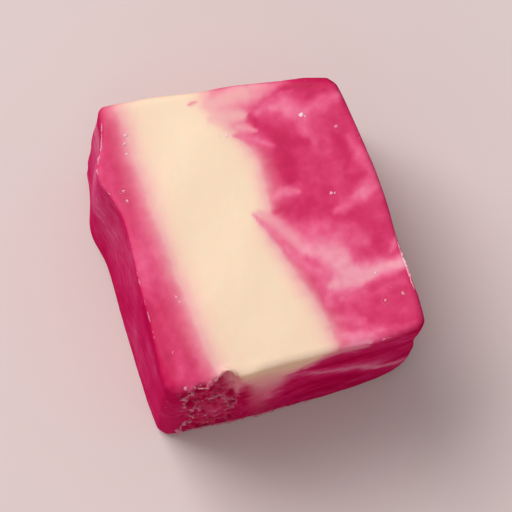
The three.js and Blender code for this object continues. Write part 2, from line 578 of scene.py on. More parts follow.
@dataclass
class CutBlock:
    """The block's own form, as a unit cube's skin carried to millimetres."""

    height: float = 27.0
    # Corners at the top and at the tray: left and right, each from the front to the back.
    top_corners: tuple[tuple[Pair, Pair], tuple[Pair, Pair]] = (
        ((-13.9, -14.9), (-13.7, 19.2)),
        ((16.3, -14.9), (13.4, 16.3)),
    )
    tray_corners: tuple[tuple[Pair, Pair], tuple[Pair, Pair]] = (
        ((-15.9, -15.5), (-16.6, 18.7)),
        ((16.5, -14.9), (14.6, 17.2)),
    )
    crown: float = 0.35
    swells: tuple[Swell, ...] = (
        Swell(Side.LEFT, 0.77, 0.1, 1.7, 1.1),
        Swell(Side.LEFT, 0.45, 0.3, 0.0, 0.3),
        Swell(Side.RIGHT, 0.6, 0.35, 0.35, 0.3),
        Swell(Side.FRONT, 0.5, 0.3, -0.15, 0.15),
        Swell(Side.BACK, 0.6, 0.35, 0.15, 0.4),
    )
    # The left, right, front and back rims' radii: the knife left the left one sharpest.
    rim_radii: tuple[float, float, float, float] = (0.4, 0.55, 0.95, 0.7)
    plain_rim_radius: float = 0.95
    tray_radius: float = 0.4
    side_sharpness: float = 6.0
    worn_reach: float = 0.2
    drawn_reach: float = 0.22
    worn_uprights: tuple[WornUpright, ...] = (
        WornUpright((-1, -1), 0.8, 0.0, 0.5),
        WornUpright((1, -1), 0.3, 0.7, 2.3),
        WornUpright((-1, 1), 0.5, 0.0, 0.2),
        WornUpright((1, 1), 0.4, 0.9, 0.6),
    )
    waves: tuple[Wave, ...] = (
        Wave(0.07, (0.31, 0.17, -0.23), 0.4),
        Wave(0.06, (-0.19, 0.36, 0.28), 2.1),
        Wave(0.05, (0.52, -0.44, 0.39), 4.0),
        Wave(0.03, (-0.83, -0.61, 0.72), 1.3),
    )
    still_above_tray: float = 2.0

    def rounded(self, cube: Array) -> tuple[Array, Array]:
        """Rounds the unit cube's edges.

        A core box is drawn in from the skin by the radius, and the point is set at the radius
        from the core's nearest point. The radius is the rims' own, weighted by how near each side
        is, and grows at the worn uprights.

        Args:
            cube: n x 3 points of the unit cube's skin.

        Returns:
            The rounded points and their outward directions.
        """
        near = np.stack([end * cube[:, axis] for axis, end in (side.value for side in Side)], 1)
        weight = np.maximum(near, 0) ** self.side_sharpness
        total = weight.sum(1)
        weighted = weight @ np.array(self.rim_radii) / np.maximum(total, 1e-12)
        rim = np.where(total > 0, weighted, self.plain_rim_radius)
        worn = sum(
            upright.extra_radius * bell(upright.distance(cube), self.worn_reach)
            for upright in self.worn_uprights
        )
        up = (cube[:, 2] + 1) / 2
        radius = ((mix(self.tray_radius, rim, up) + worn) / (self.height / 2))[:, None]
        core = np.clip(cube, radius - 1, 1 - radius)
        out = unit(cube - core)
        return core + radius * out, out

    def between(self, corners: tuple, share: Array) -> Array:
        """Places between four corners, in straight shares across and back.

        Args:
            corners: the left and the right corners, each from the front to the back.
            share: n x 3 shares of the way across, back and up, of which the first two count.

        Returns:
            n x 2 places in millimetres.
        """
        grid = np.asarray(corners)
        front = mix(grid[0, 0], grid[1, 0], share[:, :1])
        back = mix(grid[0, 1], grid[1, 1], share[:, :1])
        return mix(front, back, share[:, 1:2])

    def swelling(self, side: Side, along: Array, up: Array) -> Array:
        """How far a side swells out: bells along the side, scaled from the tray to the top.

        Args:
            side: the side.
            along: n places along it, from -1 to 1.
            up: n shares of the height.

        Returns:
            n lengths in millimetres.
        """
        return sum(
            mix(s.out_at_tray, s.out_at_top, up) * bell((along + 1) / 2 - s.at, s.reach)
            for s in self.swells
            if s.side is side
        )

    def surface(self, cube: Array) -> tuple[Array, Array]:
        """Carries points of the unit cube's skin to the block's skin.

        The place is a straight blend of the four corners at the tray and the four at the top.
        Each side then swells out by its bells, the worn uprights draw in, the top is crowned by
        a parabola each way, and slow sine waves stir every face but the foot.

        Args:
            cube: n x 3 points of the unit cube's skin.

        Returns:
            The points in millimetres and their outward directions.
        """
        shape, out = self.rounded(cube)
        share = (shape + 1) / 2
        up = share[:, 2]
        at_tray = self.between(self.tray_corners, share)
        place = mix(at_tray, self.between(self.top_corners, share), up[:, None])
        for side in Side:
            axis, end = side.value
            pull = np.maximum(end * shape[:, axis], 0) ** 2
            place[:, axis] += end * pull * self.swelling(side, shape[:, 1 - axis], up)
        for upright in self.worn_uprights:
            furthest = mix(upright.in_at_tray, upright.in_at_top, up) * np.sqrt(0.5)
            drawn = furthest * np.exp(-upright.distance(shape) / self.drawn_reach)
            place -= np.outer(drawn, upright.side)
        crowned = self.crown * (1 - shape[:, 0] ** 2) * (1 - shape[:, 1] ** 2)
        points = np.column_stack([place, up * (self.height + crowned)])
        wave = sum(w.height * np.sin(points @ np.array(w.along) + w.phase) for w in self.waves)
        wave = wave * ease(0, self.still_above_tray, points[:, 2])
        return points + out * wave[:, None], out

    def on_front(self, across: Array, up: Array) -> Array:
        """Points of the front face.

        Args:
            across: n places across it in millimetres.
            up: n shares of the height.

        Returns:
            n x 3 points in millimetres.
        """
        left = mix(self.tray_corners[0][0][0], self.top_corners[0][0][0], up)
        right = mix(self.tray_corners[1][0][0], self.top_corners[1][0][0], up)
        a = 2 * (across - left) / (right - left) - 1
        return self.surface(np.column_stack([a, -np.ones_like(a), 2 * up - 1]))[0]


def grid_lines(count: int, crowded: tuple[Triple, ...], samples: int = 4001) -> Array:
    """Lines across the unit cube, closer together where more detail lies.

    The lines stand at even steps of the running total of a density: 1, plus a bell for each
    crowded place.

    Args:
        count: how many steps there are between the first line and the last.
        crowded: the place, the reach and the added density of each bell.
        samples: how finely the density is summed.

    Returns:
        count + 1 places from -1 to 1.
    """
    fine = np.linspace(-1, 1, samples)
    density = 1 + sum(more * bell(fine - place, reach) for place, reach, more in crowded)
    filled = np.concatenate([[0], np.cumsum((density[1:] + density[:-1]) / 2)])
    return np.interp(np.linspace(0, filled[-1], count + 1), filled, fine)


def cube_skin(lines: tuple[Array, Array, Array], foot_rings: Array) -> tuple[Array, Array]:
    """The unit cube's skin: five grids, and rings that close the foot, with shared seams.

    Every grid point gets the number of its lattice place, and equal numbers are one point. The
    foot's rings are its rim drawn in towards the middle, where a fan of quads closes the last.

    Args:
        lines: the grid lines along each axis. The steps across and back make an even total.
        foot_rings: how wide each ring of the foot is, as a share of the rim, falling.

    Returns:
        The points, n x 3, and the quads, facing outwards.
    """
    shape = tuple(len(line) for line in lines)
    grids = []
    for axis, end in ((0, 0), (0, 1), (1, 0), (1, 1), (2, 1)):
        u, v = (axis + 1) % 3, (axis + 2) % 3
        steps = np.meshgrid(np.arange(shape[u] - 1), np.arange(shape[v] - 1), indexing="ij")
        corners = []
        for du, dv in ((0, 0), (1, 0), (1, 1), (0, 1)):
            index = [np.full_like(steps[0], end * (shape[axis] - 1))] * 3
            index[u] = steps[0] + du
            index[v] = steps[1] + dv
            corners.append(np.ravel_multi_index(index, shape).ravel())
        grids.append(np.stack(corners if end else corners[::-1], axis=1))
    numbers, quads = np.unique(np.concatenate(grids), return_inverse=True)
    places = np.unravel_index(numbers, shape)
    points = np.stack([line[place] for line, place in zip(lines, places)], axis=1)

    a, b = np.arange(shape[0] - 1), np.arange(shape[1] - 1)
    rim_a = np.concatenate([a, 0 * b + shape[0] - 1, shape[0] - 1 - a, 0 * b])
    rim_b = np.concatenate([0 * a, b, 0 * a + shape[1] - 1, shape[1] - 1 - b])
    rim = np.searchsorted(numbers, np.ravel_multi_index([rim_a, rim_b, 0 * rim_a], shape))
    drawn_in = points[rim][None] * np.array([1, 1, 0]) * foot_rings[:, None, None]
    drawn_in[..., 2] = -1
    added = len(points) + np.arange(drawn_in.size // 3).reshape(len(foot_rings), -1)
    ring = np.vstack([rim, added])
    outer, inner = ring[:-1], ring[1:]
    corners = [outer, inner, np.roll(inner, -1, axis=1), np.roll(outer, -1, axis=1)]
    bands = np.stack(corners, axis=-1).reshape(-1, 4)
    even, odd = ring[-1, ::2], ring[-1, 1::2]
    middle = np.full_like(even, added[-1, -1] + 1)
    fan = np.stack([even, middle, np.roll(even, -1), odd], axis=1)
    points = np.vstack([points, drawn_in.reshape(-1, 3), [[0, 0, -1]]])
    return points, np.vstack([quads.reshape(-1, 4), bands, fan])


@dataclass
class TornStrip:
    """The strip down the front face where the fudge tore: scoops with thin crags between.

    The large scoops and the bite lie where the solid has them, because their places come from
    the same repeatable random source.
    """

    block: CutBlock
    left: float = -12.3
    right: float = -6.3
    columns: int = 4
    rows: int = 12
    scoop_radius: Pair = (1.3, 2.1)
    scoop_sunk: Pair = (0.3, 0.8)
    # The source also draws a number for each corner of the solid's scoops, which goes unused here.
    scoop_corners: int = 42
    # The repeatable random source's first state, multiplier, step and modulus.
    source: tuple[int, int, int, int] = (20, 1664525, 1013904223, 2**32)
    nibbles: int = 34
    nibble_radius: Pair = (0.35, 0.8)
    nibble_sunk: Pair = (0.1, 0.25)
    # Nibbles crowd about the strip's middle and stay between two limits.
    nibble_up: Pair = (0.02, 1.0)
    nibble_spread: float = 2.6
    nibble_past_left: float = 0.4
    nibble_right: float = -4.2
    bite_at: float = -6.9
    bite_out: Triple = (0.0, -0.6, -0.5)
    bite_radii: Triple = (1.15, 1.45, 3.0)
    lip_softness: float = 0.05
    bite_softness: float = 0.3
    lumpiness: float = 0.16
    lump_mm: float = 1.7
    # Points within so many radii of a ball's middle are moved, and further ones by a softer lip.
    moved_radii: float = 1.2
    moved_softness: float = 6.0
    crest_height: float = 0.2
    crest_mm: Pair = (1.5, 0.7)
    crest_shares: Pair = (0.7, 0.3)
    crest_sharpness: float = 4.0
    # How far left of the strip the scoops die out.
    faded_left: Pair = (-1.2, -0.4)
    # Where tearing sets in and ends past the strip's borders, which noise stirs.
    torn_left: Pair = (-0.5, 0.3)
    torn_right: Pair = (-0.4, 0.9)
    border_stir: float = 1.6
    border_mm: float = 4.2
    seed: int = 11
    noise: LatticeNoise = LatticeNoise(14)

    def drawn(self) -> Array:
        """The draws behind the large scoops, from a linear congruential source.

        Returns:
            A row of shares from 0 to 1 for each scoop.
        """
        state, multiplier, step, modulus = self.source
        draws = np.empty((self.rows * self.columns, 4 + self.scoop_corners))
        for index in np.ndindex(draws.shape):
            state = (state * multiplier + step) % modulus
            draws[index] = state / modulus
        return draws

    def scoops(self) -> tuple[Array, Array]:
        """The balls that the tearing took out: a jittered grid of large ones, then nibbles.

        Returns:
            Their middles, and their radii along each axis, with the bite last.
        """
        row, column = np.divmod(np.arange(self.rows * self.columns), self.columns)
        draw = self.drawn()
        up = (row + draw[:, 0]) / self.rows
        across = mix(self.left, self.right, (column + draw[:, 1]) / self.columns)
        radius = mix(*self.scoop_radius, draw[:, 2])
        sunk = mix(*self.scoop_sunk, draw[:, 3])
        random = np.random.default_rng(self.seed)
        up = np.concatenate([up, random.uniform(*self.nibble_up, self.nibbles)])
        middle = (self.left + self.right) / 2
        strewn = random.normal(middle, self.nibble_spread, self.nibbles)
        strewn = np.clip(strewn, self.left - self.nibble_past_left, self.nibble_right)
        across = np.concatenate([across, strewn])
        radius = np.concatenate([radius, random.uniform(*self.nibble_radius, self.nibbles)])
        sunk = np.concatenate([sunk, random.uniform(*self.nibble_sunk, self.nibbles)])
        centres = self.block.on_front(across, up)
        centres[:, 1] -= radius - sunk
        centres[:, 2] = np.maximum(centres[:, 2], radius)
        bite = self.block.on_front(np.array([self.bite_at]), np.array([1.0])) + self.bite_out
        radii = np.repeat(radius[:, None], 3, axis=1)
        return np.vstack([centres, bite]), np.vstack([radii, self.bite_radii])

    def carve(self, points: Array) -> Array:
        """Scoops the balls out: a point inside one is pushed from its middle to its wall.

        In shares of the radius, a point at distance d goes to 1 plus a soft ramp of d - 1, so
        the lip round each scoop is a little rounded. Noise makes the radii uneven.

        Args:
            points: n x 3 places of the skin in millimetres.

        Returns:
            The points moved, n x 3.
        """
        carved = points.copy()
        centres, scoop_radii = self.scoops()
        softness = np.full(len(centres), self.lip_softness)
        softness[-1] = self.bite_softness
        lumps = 1 + self.lumpiness * self.noise.layered(points, self.lump_mm, 3)[:, None]
        for centre, radii, soft in zip(centres, scoop_radii, softness):
            reach = radii * (self.moved_radii + self.moved_softness * soft)
            near = np.all(np.abs(carved - centre) < reach, axis=1)
            lumpy = radii * lumps[near]
            away = (carved[near] - centre) / lumpy
            distance = np.linalg.norm(away, axis=1)
            pushed = 1 + soft_ramp(distance - 1, soft)
            carved[near] = centre + lumpy * away * (pushed / distance)[:, None]
        kept = ease(*(self.left + past for past in self.faded_left), points[:, 0])
        return mix(points, carved, kept[:, None])

    def tear(self, points: Array, normals: Array) -> Array:
        """How torn the skin is: smooth steps in and out across the strip's stirred borders.

        Args:
            points: n x 3 places of the skin in millimetres.
            normals: their unit normals.

        Returns:
            n values: 1 inside the strip on the front face, and 0 at the foot and elsewhere.
        """
        across = points[:, 0] + self.border_stir * self.noise.layered(points, self.border_mm, 4)
        inside = ease(*(self.left + past for past in self.torn_left), across)
        inside *= 1 - ease(*(self.right + past for past in self.torn_right), across)
        return inside * ease(0.3, 0.7, -normals[:, 1]) * ease(0.2, 0.8, points[:, 2])

    def crests(self, points: Array) -> Array:
        """How near a crest of the tearing points are: 1 on it, down to -1 in the pits between.

        The crests run where noise passes through zero, and finer ones lie among them.

        Args:
            points: n x 3 places of the skin in millimetres.

        Returns:
            n values.
        """
        total = np.zeros(len(points))
        for k, (spacing, share) in enumerate(zip(self.crest_mm, self.crest_shares)):
            gap = np.abs(self.noise.at(points + 60.0 * k, spacing))
            total += share * np.clip(1 - self.crest_sharpness * gap, -1, 1)
        return total


@dataclass(frozen=True)
class Streak:
    """One bent streak on a face, painted over what lies under it.

    The curve goes from start through bend to end. The tone is the pink's, from 0, deepest, to 1,
    milkiest. Cream is left as it was where the streak names none.
    """

    start: Pair
    bend: Pair
    end: Pair
    width: float
    tone: float
    cream: float | None = None
    opacity: float = 0.85
    # The bell's reach in widths, the share of it that is left at the ends, and how soon it goes.
    reach: float = 1.12
    end_share: float = 0.45
    thinning: float = 0.7

    def cover(self, places: Array) -> Array:
        """How strongly the streak covers places: a bell of the distance to its curve.

        Args:
            places: n x 2 places on the face in millimetres.

        Returns:
            n values from 0 to the opacity, thinner towards the streak's ends.
        """
        start, bend, end = (np.array(p) for p in (self.start, self.bend, self.end))
        length = np.linalg.norm(bend - start) + np.linalg.norm(end - bend)
        t = np.linspace(0, 1, 8 + int(4 * length / self.width))[:, None]
        handle = 2 * bend - (start + end) / 2
        curve = (1 - t) ** 2 * start + 2 * t * (1 - t) * handle + t**2 * end
        gaps = np.linalg.norm(places[:, None, :] - curve[None], axis=2)
        nearest = gaps.argmin(axis=1)
        thin = mix(self.end_share, 1.0, np.sin(np.pi * t[nearest, 0]) ** self.thinning)
        gap = gaps[np.arange(len(places)), nearest]
        return self.opacity * bell(gap, self.reach * self.width * thin)


@dataclass
class Marbling:
    """How the pink and the cream ran together when the two were folded and poured.

    A ribbon of cream stands in the block between a left and a right border that lean with the
    depth. Round it the pink lies in folded layers. The upper face and the front carry the
    streaks that the folding drew out there.
    """

    top: float = 27.0
    front: float = -15.0
    back: float = 19.0
    # Places of the ribbon's borders on the upper face: how far back, then how far right.
    left_border: tuple[Pair, ...] = (
        (-15.0, -7.5),
        (-11.0, -8.3),
        (-5.0, -9.1),
        (1.0, -9.8),
        (7.0, -10.5),
        (13.0, -10.9),
        (19.0, -11.2),
    )
    right_border: tuple[Pair, ...] = (
        (-15.0, 6.7),
        (-13.2, 5.8),
        (-10.0, 4.85),
        (-7.0, 3.8),
        (-4.0, 2.9),
        (-1.0, 1.5),
        (1.0, 1.3),
        (3.0, 2.3),
        (6.0, 2.45),
        (8.0, 2.5),
        (10.0, 1.9),
        (12.0, 0.7),
        (14.0, -0.6),
        (16.5, -1.6),
        (19.0, -1.2),
    )
    # How soft the two borders are, and how much sharper they get just under the upper face.
    softness: Pair = (0.78, 0.62)
    sharper: float = 0.6
    sharper_depths: Pair = (0.2, 1.8)
    # How far each border closes in, over which depth, and how far it leans for each millimetre
    # further down: at the front, then at the back.
    left_closes: Pair = (3.3, 0.4)
    left_depth: float = 3.6
    left_leans: Pair = (0.0, 0.16)
    right_closes: Pair = (7.8, 0.8)
    right_depth: float = 3.8
    right_leans: Pair = (0.05, -0.12)
    # The depth over which the cream dies out, at the front and at the back.
    cream_depth: Pair = (8.5, 40.0)
    # How far noise stirs the places near the upper face and deep down, and its spacings.
    stir_depths: Pair = (0.5, 7.0)
    slow_stir: Pair = (0.24, 0.95)
    fine_stir: Pair = (0.17, 0.22)
    stir_mm: Pair = (5.5, 1.2)
    # The fold in the pink: where its crest runs, how steeply it falls and how noise bends it.
    fold_at: float = 2.0
    falls_left: float = 2.6
    falls_right: float = 0.55
    fold_stir: float = 2.6
    fold_mm: float = 9.0
    layer_mm: Triple = (2.3, 16.0, 12.0)
    cloud_mm: float = 4.6
    drawn_mm: Triple = (5.0, 5.0, 13.0)
    # The pink's tones on the upper face: left and right of the cream, the folds and the clouds.
    upper_tone: Pair = (0.43, 0.34)
    upper_folds: float = 0.06
    upper_clouds: float = 0.11
    # And on the sides, whose deeper tone is partly painted shade: how much milkier the left face
    # and those behind are, the left face's milkiness partly a painted sheen, and the contrast of
    # what is drawn down and of the folds, at the front and behind.
    side_tone: float = 0.28
    left_milkier: Pair = (0.03, 0.22)
    milkier_behind: float = 0.07
    drawn_contrast: Pair = (0.12, 0.16)
    fold_contrast: Pair = (0.24, 0.3)
    fold_contrast_left: float = 0.06
    # How far the upper streaks lean left for each millimetre down a side.
    streak_lean: float = 0.3
    upper_streaks: tuple[Streak, ...] = (
        # The haze where the cream runs out towards the back edge.
        Streak((-1.4, 16.0), (1.6, 16.5), (5.0, 16.5), 1.4, 0.95, 0.5),
        Streak((-1.6, 14.3), (0.3, 14.2), (2.6, 13.9), 0.9, 0.95, 0.52),
        Streak((3.6, 16.5), (5.6, 16.3), (7.6, 16.4), 0.8, 0.8, 0.2, 0.75),
        # The hook, its two arms and the haze between them.
        Streak((6.4, 15.5), (9.6, 15.9), (14.2, 15.2), 0.8, 0.0, 0.0, 1.0),
        Streak((3.2, 13.9), (5.2, 14.9), (8.0, 15.5), 0.45, 0.36, 0.0, 0.9),
        Streak((9.2, 14.1), (10.4, 14.3), (11.8, 14.4), 0.38, 0.12, None, 0.85),
        Streak((3.9, 14.0), (6.6, 14.2), (8.2, 11.8), 1.25, 0.66, 0.03, 0.8),
        Streak((5.4, 14.2), (7.1, 13.9), (7.7, 12.6), 0.8, 0.8, 0.04, 0.75),
        Streak((7.4, 12.8), (8.4, 11.0), (9.0, 8.8), 0.75, 0.64, None, 0.8),
        Streak((8.6, 12.9), (11.0, 13.0), (13.2, 13.6), 0.9, 0.7, None, 0.78),
        Streak((2.9, 13.9), (3.1, 13.2), (3.7, 12.4), 0.55, 0.3, 0.0, 0.9),
        Streak((3.3, 12.9), (4.4, 11.4), (6.4, 9.8), 0.8, 0.18, 0.0, 0.95),
        Streak((5.2, 10.6), (6.6, 9.6), (8.2, 9.1), 0.8, 0.1, 0.0, 0.85),
        # The tongue that licks into the cream, and the paler pink above it.
        Streak((1.0, 12.8), (2.0, 12.3), (3.0, 11.9), 0.55, 0.95, 0.4, 0.75),
        Streak((0.5, 11.7), (2.2, 11.1), (4.6, 9.7), 0.55, 0.78, 0.05, 0.85),
        # The deep pink along the cream, and the clouds right of it.
        Streak((5.1, 11.0), (5.6, 8.2), (5.1, 5.2), 1.15, 0.06, 0.0, 0.9),
        Streak((6.6, 8.2), (7.8, 7.6), (9.0, 7.0), 1.3, 0.4, None, 0.7),
        Streak((11.3, 9.4), (12.0, 7.6), (11.6, 5.4), 0.8, 0.1, None, 0.8),
        Streak((12.9, 8.8), (13.6, 6.6), (14.2, 4.2), 0.7, 0.62, None, 0.8),
        Streak((11.4, 4.3), (12.3, 4.0), (13.0, 3.8), 0.5, 0.22, None, 0.7),
        # The thin pale band, the wedge under it and the haze at its right end.
        Streak((2.9, 3.9), (4.1, 4.2), (5.8, 4.0), 0.5, 0.86, 0.14, 0.75),
        Streak((2.8, 2.5), (6.2, 1.9), (11.2, -0.6), 1.1, 0.2, 0.0),
        Streak((6.0, 3.2), (8.0, 2.9), (9.8, 2.3), 0.7, 0.24, None, 0.6),
        Streak((9.1, 0.8), (11.5, 1.2), (14.8, 2.6), 0.75, 0.68, None, 0.8),
        Streak((11.8, 1.7), (13.3, 2.5), (15.2, 4.4), 0.75, 0.74, None, 0.75),
        Streak((10.6, -0.6), (12.6, -0.5), (14.8, 0.4), 0.8, 0.28, None, 0.7),
        # The middle pink, with the deeper patch at the right rim.
        Streak((4.6, -0.2), (8.4, -1.8), (11.8, -3.5), 1.7, 0.62, 0.0, 0.9),
        Streak((12.4, -1.2), (13.4, -2.7), (12.8, -4.5), 0.9, 0.3, None, 0.8),
        Streak((14.1, -5.1), (14.8, -4.4), (15.3, -3.5), 0.4, 0.78, None, 0.7),
        # The thin pink line in the cream, and the pale one above it that feeds the wisp.
        Streak((0.9, 2.8), (3.0, 0.2), (5.4, -3.0), 0.85, 0.98, 0.3, 0.8),
        Streak((0.2, 2.6), (1.5, 0.5), (3.2, -2.4), 0.42, 0.7, 0.08),
        Streak((2.8, -2.0), (4.2, -4.1), (6.0, -5.6), 0.6, 0.74, 0.06),
        Streak((5.4, -5.6), (6.2, -7.0), (5.8, -9.2), 0.95, 0.74, 0.0),
        # The bright wisp across to the right rim, with its lobe below.
        Streak((4.8, -2.9), (7.4, -3.7), (9.2, -6.0), 1.3, 0.98, 0.05, 0.92),
        Streak((6.6, -4.4), (7.6, -5.4), (8.8, -6.6), 1.2, 0.98, 0.08, 0.65),
        Streak((8.0, -5.6), (10.6, -6.8), (16.2, -6.6), 1.15, 1.0, 0.06, 0.95),
        Streak((6.6, -7.4), (8.6, -7.5), (11.4, -7.3), 1.0, 1.0, 0.12, 0.95),
        Streak((14.2, -6.7), (17.6, -6.9), (21.0, -8.6), 0.9, 1.0, None, 0.85),
        # The deeper pinks below the wisp.
        Streak((6.4, -10.0), (9.4, -9.9), (12.2, -9.1), 0.75, 0.44, 0.0),
        Streak((11.6, -9.4), (13.4, -8.9), (15.6, -8.4), 0.55, 0.46, None),
        Streak((7.2, -9.2), (8.8, -9.3), (10.4, -8.9), 0.6, 0.8, None, 0.55),
        Streak((9.4, -11.5), (11.6, -11.7), (15.0, -11.9), 1.2, 0.36, None, 0.8),
        Streak((6.4, -11.1), (7.7, -11.4), (9.2, -12.0), 0.7, 0.66, None),
        # The paler band along the front rim.
        Streak((6.2, -13.0), (8.6, -13.5), (10.8, -13.8), 0.8, 0.8, None),
        Streak((10.0, -13.8), (12.2, -13.9), (14.8, -13.7), 0.5, 0.56, None, 0.7),
        Streak((6.4, -14.3), (7.8, -14.3), (9.6, -14.4), 0.4, 0.95, None, 0.8),
        # The strip left of the cream.
        Streak((-12.0, -3.6), (-10.9, -8.0), (-10.6, -12.0), 1.2, 0.17, None, 0.8),
        Streak((-13.5, -4.0), (-13.2, -9.0), (-13.0, -13.8), 0.9, 0.04, None, 0.85),
        Streak((-13.3, 18.8), (-13.1, 13.0), (-12.9, 4.0), 1.0, 0.2, None, 0.75),
        # A fleck of pink in the cream.
        Streak((-3.8, 16.6), (-3.2, 16.6), (-2.6, 16.8), 0.28, 0.66, 0.12, 0.8),
    )
    front_streaks: tuple[Streak, ...] = (
        # The deep pink between the streaks.
        Streak((4.0, 20.9), (8.4, 21.2), (14.2, 17.4), 1.7, 0.0, None, 0.95),
        Streak((0.9, 4.6), (4.6, 5.4), (8.8, 1.8), 1.7, 0.0, None, 0.8),
        Streak((0.2, 9.8), (4.0, 11.6), (8.8, 5.6), 1.5, 0.0, 0.0),
        Streak((-5.6, 18.0), (-5.3, 14.7), (-4.9, 9.0), 0.8, 0.0, 0.0),
        # The pale streak that curves out from the cream, and two thinner ones.
        Streak((-2.4, 10.0), (-1.4, 16.8), (1.0, 20.2), 0.8, 0.75, None, 0.7),
        Streak((0.2, 20.2), (5.6, 16.5), (13.2, 5.4), 1.9, 0.7, 0.0),
        Streak((8.4, 12.0), (11.2, 7.8), (14.4, 6.2), 0.9, 0.95, None, 0.7),
        Streak((2.6, 19.2), (5.4, 16.8), (8.8, 12.0), 0.6, 0.94, None, 0.5),
        Streak((5.8, 3.4), (9.6, 4.6), (14.6, 3.2), 0.8, 0.5, None, 0.6),
        Streak((8.2, 20.2), (11.0, 19.4), (14.6, 16.8), 0.45, 0.45, None, 0.6),
        Streak((1.8, 22.6), (4.9, 25.6), (9.0, 26.4), 0.7, 0.8, 0.36, 0.8),
        # The bite's wall, painted paler to lift the shade in its hollow and partly as the cream's
        # border through it, the pale band right of it, and a cloud low on the torn strip.
        Streak((-7.9, 26.4), (-7.0, 25.4), (-5.9, 24.8), 0.95, 1.0, 0.4, 0.8),
        Streak((-6.0, 24.9), (-6.1, 22.0), (-6.2, 17.6), 0.8, 0.9, 0.42, 0.8),
        Streak((-9.9, 11.0), (-9.4, 9.3), (-8.8, 6.8), 1.1, 0.6, None, 0.7),
    )
    noise: LatticeNoise = LatticeNoise(5)

    def stirred(self, points: Array) -> Array:
        """Moves points about by noise, more so deep down, so that no border runs true.

        Args:
            points: n x 3 places in millimetres.

        Returns:
            The places stirred, n x 3.
        """
        slow = self.noise.three(points, self.stir_mm[0], 31.0)
        fine = self.noise.three(points, self.stir_mm[1], -23.0)
        depth = ease(*self.stir_depths, self.top - points[:, 2])[:, None]
        return points + mix(*self.slow_stir, depth) * slow + mix(*self.fine_stir, depth) * fine

    def ribbon(self, points: Array) -> Array:
        """The share of cream: a logistic step at both borders, which close in with the depth.

        Args:
            points: n x 3 stirred places in millimetres.

        Returns:
            n values from 0, pink, to 1, cream.
        """
        x, y, z = points.T
        depth = np.maximum(self.top - z, 0)
        back = np.clip((y - self.front) / (self.back - self.front), 0, 1)
        left = np.interp(y, *zip(*self.left_border))
        closed = mix(*self.left_closes, back) * (1 - np.exp(-depth / self.left_depth))
        left += closed + mix(*self.left_leans, back) * depth
        right = np.interp(y, *zip(*self.right_border))
        closed = mix(*self.right_closes, back) * (1 - np.exp(-depth / self.right_depth))
        right -= closed + mix(*self.right_leans, back) * depth
        widths = np.outer(self.softness, mix(1.0, self.sharper, ease(*self.sharper_depths, depth)))
        past = np.stack([left - x, x - right]) / widths
        share = np.prod(1 / (1 + np.exp(past)), axis=0)
        return share * np.exp(-soft_ramp(depth - 1, 1.0) / mix(*self.cream_depth, back))

    def layers(self, points: Array, moved: Array, cut: Array) -> Array:
        """The pink's tone: layers folded round the cream, and clouds, with the cut sides' deeper tone
        partly painted shade.

        The layers follow a height that falls away to both sides of a fold right of the cream:
        gently to the right and steeply to the left.

        Args:
            points: n x 3 places in millimetres.
            moved: the same places stirred.
            cut: n values, 1 on a cut side and 0 on the upper face.

        Returns:
            n values about a third.
        """
        x, y, z = moved.T
        fold = z + self.falls_right * soft_ramp(x - self.fold_at, 1.0)
        fold += self.falls_left * soft_ramp(self.fold_at - x, 1.5)
        fold += self.fold_stir * self.noise.layered(points + 80.0, self.fold_mm, 2)
        folded = self.noise.layered(np.column_stack([fold, y, x / 3]), self.layer_mm, 3)
        clouds = self.noise.layered(points + 50.0, self.cloud_mm, 4)
        upper = mix(*self.upper_tone, ease(-9.0, -6.0, x))
        upper += self.upper_folds * folded
        upper += self.upper_clouds * clouds
        drawn_down = self.noise.layered(points + 50.0, self.drawn_mm, 2)
        left_face = 1 - ease(-14.4, -13.2, points[:, 0])
        behind = ease(-14.0, -12.0, points[:, 1])
        high_behind = ease(-4.0, 8.0, points[:, 1]) * ease(4.0, 16.0, points[:, 2])
        # The left face is milkier, partly as a painted sheen.
        side = self.side_tone + left_face * mix(*self.left_milkier, high_behind)
        side += self.milkier_behind * behind
        side += mix(*self.drawn_contrast, behind) * drawn_down
        contrast = mix(*self.fold_contrast, behind)
        side += mix(self.fold_contrast_left, contrast, ease(-11.0, -5.0, x)) * folded
        return mix(upper, side, cut)

    def fields(self, points: Array, cut: Array) -> tuple[Array, Array]:
        """The tone and the cream at places of the skin.

        Args:
            points: n x 3 places in millimetres.
            cut: n values, 1 on a cut side and 0 on the upper face.

        Returns:
            The tone, from 0, deepest, to 1, milkiest, and the cream, from 0 to 1.
        """
        moved = self.stirred(points)
        tone = self.layers(points, moved, cut)
        cream = self.ribbon(moved)
        depth = self.top - points[:, 2]
        near_top = 1 - ease(1.0, 5.0, depth)
        near_front = cut * (1 - ease(1.0, 4.0, points[:, 1] - self.front))
        leaning = np.column_stack([moved[:, 0] + self.streak_lean * depth, moved[:, 1]])
        facing = moved[:, [0, 2]]
        for streaks, places, presence in (
            (self.upper_streaks, leaning, near_top),
            (self.front_streaks, facing, near_front),
        ):
            near = presence > 0.01
            for streak in streaks:
                share = presence[near] * streak.cover(places[near])
                tone[near] += share * (streak.tone - tone[near])
                if streak.cream is not None:
                    cream[near] += share * (streak.cream - cream[near])
        return np.clip(tone, 0, 1), np.clip(cream, 0, 1)


